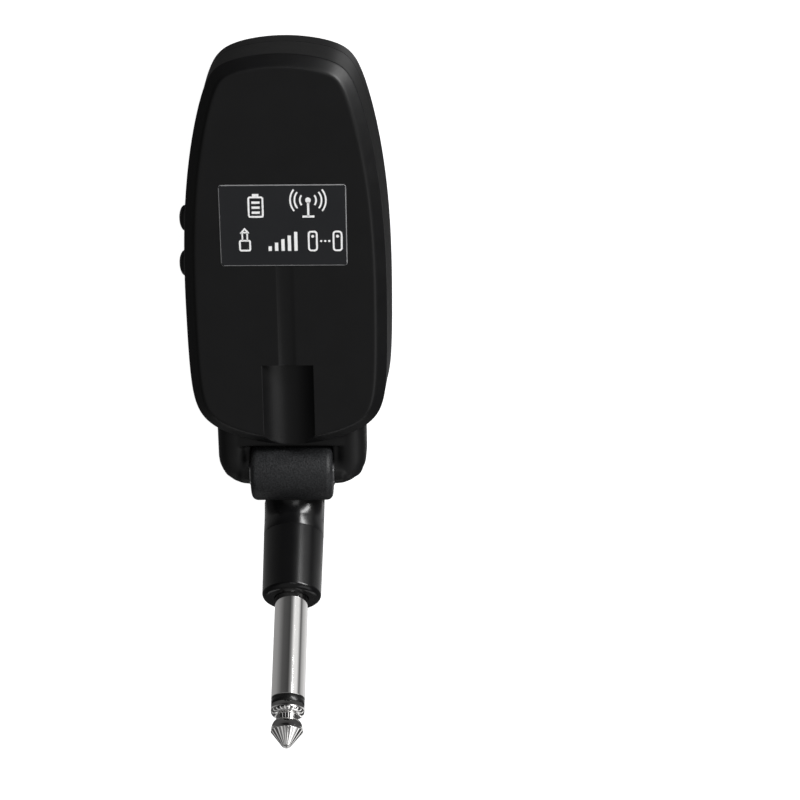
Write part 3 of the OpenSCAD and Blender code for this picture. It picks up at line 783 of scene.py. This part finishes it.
class Paint:
    """A node material with the few procedural helpers that the finishes share."""

    def __init__(self, name, color, roughness, **values):
        self.material = bpy.data.materials.new(name)
        self.material.use_nodes = True
        self.nodes = self.material.node_tree.nodes
        self.links = self.material.node_tree.links
        self.shader = self.nodes["Principled BSDF"]
        self.coords = self.nodes.new("ShaderNodeTexCoord").outputs["Object"]
        self.shader.inputs["Base Color"].default_value = (*color, 1)
        self.shader.inputs["Roughness"].default_value = roughness
        socket_value(self.shader, **values)

    def noise(self, size_mm, detail=2.0, stretch=(1, 1, 1)):
        """Noise whose features are about size_mm across, longer along the stretched axes."""
        mapping = self.nodes.new("ShaderNodeMapping")
        mapping.inputs["Scale"].default_value = [1 / (size_mm * MM * s) for s in stretch]
        self.links.new(self.coords, mapping.inputs["Vector"])
        noise = self.nodes.new("ShaderNodeTexNoise")
        noise.inputs["Scale"].default_value = 1
        noise.inputs["Detail"].default_value = detail
        self.links.new(mapping.outputs["Vector"], noise.inputs["Vector"])
        return noise.outputs["Fac"]

    def spread(self, value, low, high):
        """Maps the middle of a noise to a range."""
        reach = self.nodes.new("ShaderNodeMapRange")
        limits = {"From Min": 0.3, "From Max": 0.7, "To Min": low, "To Max": high}
        for name, number in limits.items():
            reach.inputs[name].default_value = number
        self.links.new(value, reach.inputs["Value"])
        return reach.outputs["Result"]

    def vary_roughness(self, value, low, high):
        self.links.new(self.spread(value, low, high), self.shader.inputs["Roughness"])
        return self

    def vary_color(self, value, dark, light):
        mix = self.nodes.new("ShaderNodeMix")
        mix.data_type = "RGBA"
        mix.inputs["A"].default_value = (*dark, 1)
        mix.inputs["B"].default_value = (*light, 1)
        self.links.new(self.spread(value, 0, 1), mix.inputs["Factor"])
        self.links.new(mix.outputs["Result"], self.shader.inputs["Base Color"])
        return self

    def bump(self, value, height_mm, strength=1.0):
        bump = self.nodes.new("ShaderNodeBump")
        bump.inputs["Distance"].default_value = height_mm * MM
        bump.inputs["Strength"].default_value = strength
        self.links.new(value, bump.inputs["Height"])
        before = self.shader.inputs["Normal"].links
        if before:
            self.links.new(before[0].from_socket, bump.inputs["Normal"])
        self.links.new(bump.outputs["Normal"], self.shader.inputs["Normal"])
        return self


def moulded(name, color, light, rough, grain_mm, grain_height):
    """Moulded black plastic: fine grain, and slow changes of gloss where it was handled."""
    paint = Paint(name, color, rough[0], Specular_IOR_Level=0.5)
    paint.vary_color(paint.noise(7, 3), color, light)
    paint.vary_roughness(paint.noise(3.5, 4), *rough)
    paint.bump(paint.noise(grain_mm, 3), grain_height)
    return paint.material


def sandy(name, color, light, rough, grain_mm, grain_height):
    """Blasted plastic: a coarse grain, lighter on its tops and darker in its hollows."""
    paint = Paint(name, color, rough[0])
    grain = paint.noise(grain_mm, 4)
    paint.vary_color(grain, color, light)
    paint.vary_roughness(paint.noise(1.8, 3), *rough)
    paint.bump(grain, grain_height)
    return paint.material


def plain(name, color, light, rough, grain_mm=0.4, grain_height=0.004, **values):
    """A finish for small inner pieces: a little colour change, gloss change and grain."""
    paint = Paint(name, color, rough[0], **values)
    paint.vary_color(paint.noise(1.5, 3), color, light)
    paint.vary_roughness(paint.noise(1.0, 3), *rough)
    paint.bump(paint.noise(grain_mm, 2), grain_height)
    return paint.material


def chrome_plate():
    """Mirror plate with faint turning marks round the plug and a few hairline scuffs."""
    paint = Paint("jack_chrome", (0.8, 0.79, 0.78), 0.05, Metallic=1.0)
    paint.vary_roughness(paint.noise(1.2, 4), 0.03, 0.09)
    paint.bump(paint.noise(0.25, 3, (8, 1, 1)), 0.0006)
    return paint.material


def print_ink():
    paint = Paint("label_print", (0.8, 0.8, 0.8), 0.5)
    paint.vary_color(paint.noise(0.25, 3), (0.8, 0.8, 0.8), (0.88, 0.88, 0.88))
    paint.bump(paint.noise(0.2, 2), 0.003)
    return paint.material


def board_mask():
    """Solder mask with the traces under it showing as slightly raised, lighter lines."""
    paint = Paint("circuit_board", (0.01, 0.07, 0.03), 0.3)
    paint.vary_color(paint.noise(0.8, 0, (1, 6, 1)), (0.008, 0.06, 0.025), (0.02, 0.13, 0.05))
    paint.bump(paint.noise(0.8, 0, (1, 6, 1)), 0.02)
    return paint.material


FINISHES = {
    "case_plastic": lambda: moulded("case_plastic", (0.0055, 0.0055, 0.006), (0.007, 0.007, 0.0076),
                                    (0.38, 0.42), 0.16, 0.0025),
    "hinge_plastic": lambda: moulded("hinge_plastic", (0.0065, 0.0065, 0.007), (0.009, 0.009, 0.0095),
                                     (0.42, 0.5), 0.2, 0.006),
    "barrel_grain": lambda: sandy("barrel_grain", (0.012, 0.0125, 0.0135), (0.046, 0.0475, 0.0505),
                                  (0.4, 0.54), 0.34, 0.07),
    "cover_plastic": lambda: moulded("cover_plastic", (0.0065, 0.0065, 0.007), (0.008, 0.008, 0.0085),
                                     (0.19, 0.24), 0.3, 0.0012),
    "gloss_inlay": lambda: moulded("gloss_inlay", (0.004, 0.004, 0.0045), (0.005, 0.005, 0.0055),
                                   (0.05, 0.09), 0.8, 0.0004),
    "label_film": lambda: moulded("label_film", (0.022, 0.023, 0.0265), (0.025, 0.026, 0.0295),
                                  (0.38, 0.44), 0.12, 0.0008),
    # The label's edge finish is light grey: a painted highlight along the label's rim.
    "label_rim_painted_highlight": lambda: plain("label_rim_painted_highlight", (0.4, 0.4, 0.41), (0.5, 0.5, 0.51), (0.2, 0.3)),
    "label_print": print_ink,
    "jack_chrome": chrome_plate,
    "insulator": lambda: plain("insulator", (0.012, 0.012, 0.012), (0.018, 0.018, 0.018), (0.22, 0.32)),
    "clear_plastic": lambda: plain("clear_plastic", (0.7, 0.75, 0.78), (0.8, 0.84, 0.87), (0.12, 0.2),
                                   Transmission_Weight=0.6),
    "steel": lambda: plain("steel", (0.42, 0.42, 0.43), (0.5, 0.5, 0.51), (0.25, 0.38), Metallic=1.0),
    "nut_brass": lambda: plain("nut_brass", (0.5, 0.34, 0.13), (0.62, 0.44, 0.19), (0.25, 0.35),
                               Metallic=1.0),
    "tinned_sheet": lambda: plain("tinned_sheet", (0.5, 0.5, 0.51), (0.62, 0.62, 0.63), (0.28, 0.42),
                                  Metallic=1.0),
    "foam": lambda: plain("foam", (0.02, 0.02, 0.02), (0.035, 0.035, 0.035), (0.8, 0.95), 0.3, 0.05),
    "battery_foil": lambda: plain("battery_foil", (0.4, 0.41, 0.43), (0.5, 0.51, 0.53), (0.32, 0.5),
                                  1.2, 0.03, Metallic=0.9),
    "wire_sleeve": lambda: plain("wire_sleeve", (0.3, 0.02, 0.015), (0.38, 0.03, 0.02), (0.35, 0.5)),
    "pale_plastic": lambda: plain("pale_plastic", (0.62, 0.59, 0.5), (0.7, 0.67, 0.58), (0.4, 0.55)),
    "circuit_board": board_mask,
    "chip_plastic": lambda: plain("chip_plastic", (0.015, 0.015, 0.016), (0.022, 0.022, 0.023), (0.5, 0.65)),
}
made_finishes = {}


def finish_of(name):
    if name not in made_finishes:
        made_finishes[name] = FINISHES[name]()
    return made_finishes[name]


def dress(obj, finish, body=None, nodes=()):
    """Gives a piece its finish, which fills its slot; a new piece also goes on its body, and the CAD nodes that it
    stands for are hidden.
    """
    obj.data.materials.clear()
    obj.data.materials.append(finish_of(finish))
    if body:
        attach(obj, body)
        if nodes:
            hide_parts(*nodes)
    return obj


# ---- pieces ----

slot_of = {part["node"]: part["material_slot"] for part in record["subparts"]}
for node, obj in frame["nodes"].items():
    dress(obj, slot_of[node])

dress(rear_case(), "case_plastic", "case", nodes=["rear_shell"])
dress(front_case(), "case_plastic", "case", nodes=["front_shell"])
fork, cap = fork_body()
dress(fork, "hinge_plastic", "case", nodes=["hinge_fork"])
dress(cap, "hinge_plastic", "case", nodes=["hinge_cap"])
dress(hinge_pin(), "steel", "plug_arm", nodes=["hinge_pin"])
knuckle = dress(knuckle_body(), "cover_plastic", "plug_arm", ["hinge_knuckle"])
knuckle.data.materials.append(finish_of("barrel_grain"))
for face in knuckle.data.polygons:
    from_axis = (np.array(face.center) / MM - HINGE)[1:]
    if np.linalg.norm(from_axis) < BARREL_R + 0.01:
        face.material_index = 1
dress(cover_sleeve(), "cover_plastic", "plug_arm", ["plug_cover"])
dress(plug_shaft(), "jack_chrome", "plug_arm", nodes=["jack_shaft"])
dress(plug_ring(), "insulator", "plug_arm", nodes=["jack_insulator"])
plated_tip = dress(plug_tip(), "jack_chrome", "plug_arm", nodes=["jack_tip"])
for node, body in KEYS.items():
    dress(key_top(node), "case_plastic", body, nodes=[node])
film = dress(label_film(), "label_film", "case", nodes=["rear_label"])
# The label's rolled edge takes the light grey finish, a painted highlight along its rim.
film.data.materials.append(finish_of("label_rim_painted_highlight"))
for face in film.data.polygons:
    if face.normal.z < 0.98:
        face.material_index = 1
ink = dress(label_print(), "label_print", "case")


# ---- camera, lights and floor ----

FOCAL = 96.73
SENSOR = 36
CAMERA_TILT = math.radians(20)
CAMERA_YAW = math.radians(1.211)
CAMERA_ROLL = math.radians(-0.268)
# The foot of the groove on the case, and how far it lies right of, below and beyond the camera, in mm.
GROOVE_FOOT = np.array([0, -36.7, 19.2])
GROOVE_FOOT_SEEN = np.array([-21.133, 8.111, 412.218])


def turn_about(axis, angle):
    return np.array(Matrix.Rotation(angle, 3, axis))


def make_camera():
    """Camera above the top end, looking down at the rear face; the seen axes are right, down and away."""
    c, s = math.cos(CAMERA_TILT), math.sin(CAMERA_TILT)
    lie = np.array([[1, 0, 0], [0, -c, s], [0, -s, -c]])
    seen = turn_about("Z", CAMERA_ROLL) @ turn_about("Y", CAMERA_YAW) @ lie
    place = GROOVE_FOOT - seen.T @ GROOVE_FOOT_SEEN
    camera = bpy.data.objects.new("camera", bpy.data.cameras.new("camera"))
    bpy.context.scene.collection.objects.link(camera)
    turn = seen.T @ np.diag([1, -1, -1])
    camera.matrix_world = basis(turn[:, 0], turn[:, 1], turn[:, 2], place * MM)
    camera.data.lens = FOCAL
    camera.data.sensor_width = SENSOR
    camera.data.clip_start = 0.01
    bpy.context.scene.camera = camera


def softbox(name, direction, distance, width, height, radiance, centre=(0, -0.02, 0.015),
            upright=(0, 0, 1), lit=()):
    """Area light that faces a centre from a direction, with the brightness that its face shows.

    It lights only the pieces in lit, or everything where there are none.
    """
    light = bpy.data.lights.new(name, "AREA")
    light.shape = "RECTANGLE"
    light.size, light.size_y = width, height
    light.energy = radiance * math.pi * width * height
    obj = bpy.data.objects.new(name, light)
    bpy.context.scene.collection.objects.link(obj)
    towards = Vector(direction).normalized()
    side = Vector(upright).cross(towards).normalized()
    obj.matrix_world = basis(side, towards.cross(side), towards, Vector(centre) + towards * distance)
    obj.visible_camera = False
    if lit:
        obj.light_linking.receiver_collection = bpy.data.collections.new(name + "_lights")
        for piece in lit:
            obj.light_linking.receiver_collection.objects.link(piece)
    return obj


def make_floor():
    bm = bmesh.new()
    bmesh.ops.create_grid(bm, x_segments=1, y_segments=1, size=6000)
    floor = finish_mesh("floor", bm, Matrix.Translation((0, 0, -0.05)))
    paint = Paint("floor", (0.88, 0.88, 0.88), 0.75, Specular_IOR_Level=0.2)
    paint.vary_color(paint.noise(60, 2), (0.87, 0.87, 0.87), (0.89, 0.89, 0.89))
    paint.shader.inputs["Emission Color"].default_value = (1, 1, 1, 1)
    paint.shader.inputs["Emission Strength"].default_value = 0.92
    floor.data.materials.append(paint.material)
    floor.visible_glossy = floor.visible_diffuse = False


def make_backdrop():
    """White surround for views that look over the edge of the floor."""
    bm = bmesh.new()
    bmesh.ops.create_icosphere(bm, subdivisions=4, radius=5500)
    dome = finish_mesh("backdrop", bm)
    dome.data.shade_smooth()
    paint = Paint("backdrop", (0.9, 0.9, 0.9), 1.0)
    paint.shader.inputs["Emission Color"].default_value = (1, 1, 1, 1)
    paint.shader.inputs["Emission Strength"].default_value = 1.0
    dome.data.materials.append(paint.material)
    dome.visible_diffuse = dome.visible_glossy = dome.visible_transmission = dome.visible_shadow = False


class Studio:
    """The dim room round the object, as brightness by direction, which glossy surfaces reflect."""

    def __init__(self):
        world = bpy.data.worlds.new("studio")
        bpy.context.scene.world = world
        world.use_nodes = True
        self.nodes, self.links = world.node_tree.nodes, world.node_tree.links
        self.direction = self.nodes.new("ShaderNodeTexCoord").outputs["Generated"]
        self.height = self.along((0, 0, 1))
        self.bearing = self.math("ARCTAN2", self.along((1, 0, 0)), self.along((0, 1, 0)))

    def ramp(self, value, stops, low=-1, high=1):
        """Brightness by a value, as stops of (value, brightness or colour)."""
        place = self.nodes.new("ShaderNodeMapRange")
        place.inputs["From Min"].default_value, place.inputs["From Max"].default_value = low, high
        self.links.new(value, place.inputs["Value"])
        ramp = self.nodes.new("ShaderNodeValToRGB")
        while len(ramp.color_ramp.elements) < len(stops):
            ramp.color_ramp.elements.new(0.5)
        for element, (at, color) in zip(ramp.color_ramp.elements, stops):
            element.position = (at - low) / (high - low)
            element.color = (*(color if isinstance(color, tuple) else (color,) * 3), 1)
        self.links.new(place.outputs["Result"], ramp.inputs["Fac"])
        return ramp.outputs["Color"]

    def along(self, axis):
        """How far a direction points along an axis, from -1 to 1."""
        dot = self.nodes.new("ShaderNodeVectorMath")
        dot.operation = "DOT_PRODUCT"
        dot.inputs[1].default_value = axis
        self.links.new(self.direction, dot.inputs[0])
        return dot.outputs["Value"]

    def window(self, value, low, high, blur):
        """1 between low and high, falling to 0 over blur on both sides."""
        edges = []
        for start, end in ((low - blur, low), (high + blur, high)):
            edge = self.nodes.new("ShaderNodeMapRange")
            edge.interpolation_type = "SMOOTHSTEP"
            edge.inputs["From Min"].default_value, edge.inputs["From Max"].default_value = start, end
            self.links.new(value, edge.inputs["Value"])
            edges.append(edge.outputs["Result"])
        return self.math("MULTIPLY", *edges)

    def math(self, operation, a, b):
        node = self.nodes.new("ShaderNodeMath")
        node.operation = operation
        for number, value in enumerate((a, b)):
            if isinstance(value, (int, float)):
                node.inputs[number].default_value = value
            else:
                self.links.new(value, node.inputs[number])
        return node.outputs["Value"]

    def blend(self, share, a, b):
        """Colour a, turning to b as share goes from 0 to 1."""
        mix = self.nodes.new("ShaderNodeMix")
        mix.data_type = "RGBA"
        self.links.new(share, mix.inputs["Factor"])
        for name, value in (("A", a), ("B", b)):
            if isinstance(value, tuple):
                mix.inputs[name].default_value = (*value, 1)
            else:
                self.links.new(value, mix.inputs[name])
        return mix.outputs["Result"]

    def patch(self, room, bearings, heights, color, blur=0.08):
        """Paints one patch of the room, between two bearings in degrees and two heights."""
        low, high = (math.radians(b) for b in bearings)
        across = self.window(self.bearing, low, high, blur)
        share = self.math("MULTIPLY", across, self.window(self.height, *heights, blur))
        return self.blend(share, room, color)

    def show(self, room):
        self.links.new(room, self.nodes["Background"].inputs["Color"])


# Brightness of the room by height, from straight down at -1 to straight up at 1.
ROOM_BY_HEIGHT = [(-1, 0.03), (-0.9, 0.06), (-0.4, 0.08), (0, 0.055), (0.3, 0.05), (0.6, 0.1), (0.85, 0.2),
                  (1, 0.2)]

# The studio round the plug, by the turn about its axis in degrees: a grey wall, a black gap, a white
# window, a thin black flag and a pale panel.
PLUG_ROOM = [(-180, 0.4), (-90, 0.3), (-45, 0.1), (0, 0.06), (15, 0.3), (30, 1.0), (60, 0.9), (80, 0.1),
             (100, 0.5), (150, 0.9), (180, 0.4)]


def make_studio():
    studio = Studio()
    room = studio.ramp(studio.height, ROOM_BY_HEIGHT)
    room = studio.patch(room, (-80, 12), (0.1, 0.6), (0.012, 0.012, 0.012), 0.12)
    room = studio.patch(room, (52, 72), (-0.1, 0.3), (0.25, 0.25, 0.25), 0.12)
    room = studio.patch(room, (30, 90), (-1.1, -0.9), (0.5, 0.5, 0.5), 0.08)
    room = studio.patch(room, (-30, 30), (-1.1, -0.88), (0.1, 0.1, 0.1), 0.08)
    for low, high in ((150, 190), (-190, -150)):
        room = studio.patch(room, (low, high), (0.02, 0.2), (0.9, 0.9, 0.9), 0.06)
    away = studio.along(tuple(PLUG_DIR))
    roll = studio.math("ARCTAN2", studio.along((1, 0, 0)), studio.along(tuple(ARM_UP)))
    belt = studio.ramp(roll, [(math.radians(at), bright) for at, bright in PLUG_ROOM], -math.pi, math.pi)
    studio.show(studio.blend(studio.window(away, -0.43, -0.35, 0.03), room, belt))


def make_tip_strips(plated):
    """Ring of strip lights that light the plug's tip alone, dim on the left and bright on the right."""
    tip = HINGE - PLUG_OFFSET * ARM_UP + PLUG_DIR * (RING_END + TIP_LEN / 2)
    for turn in range(-165, 180, 30):
        across = math.sin(math.radians(turn)) * X_AXIS + math.cos(math.radians(turn)) * ARM_UP
        radiance = 0.5 if turn < 0 else 1.3
        softbox("tip_strip_%d" % turn, across + 0.4 * PLUG_DIR, 0.09, 0.012, 0.115, radiance, tip * MM,
                PLUG_DIR, plated)


make_camera()
make_floor()
make_backdrop()
make_studio()
make_tip_strips([plated_tip])
softbox("key", (0.7, 0.62, 0.335), 0.8, 0.52, 0.13, 20)
softbox("side", (0.63, -0.34, 0.69), 0.8, 0.5, 0.5, 0.75)
softbox("print", (0.3, 0.5, 0.81), 0.8, 0.4, 0.4, 8.5, lit=[ink])
softbox("top", (0.15, 0.6, 0.79), 0.8, 0.3, 0.12, 1.8)
bpy.context.scene.view_settings.view_transform = "Standard"
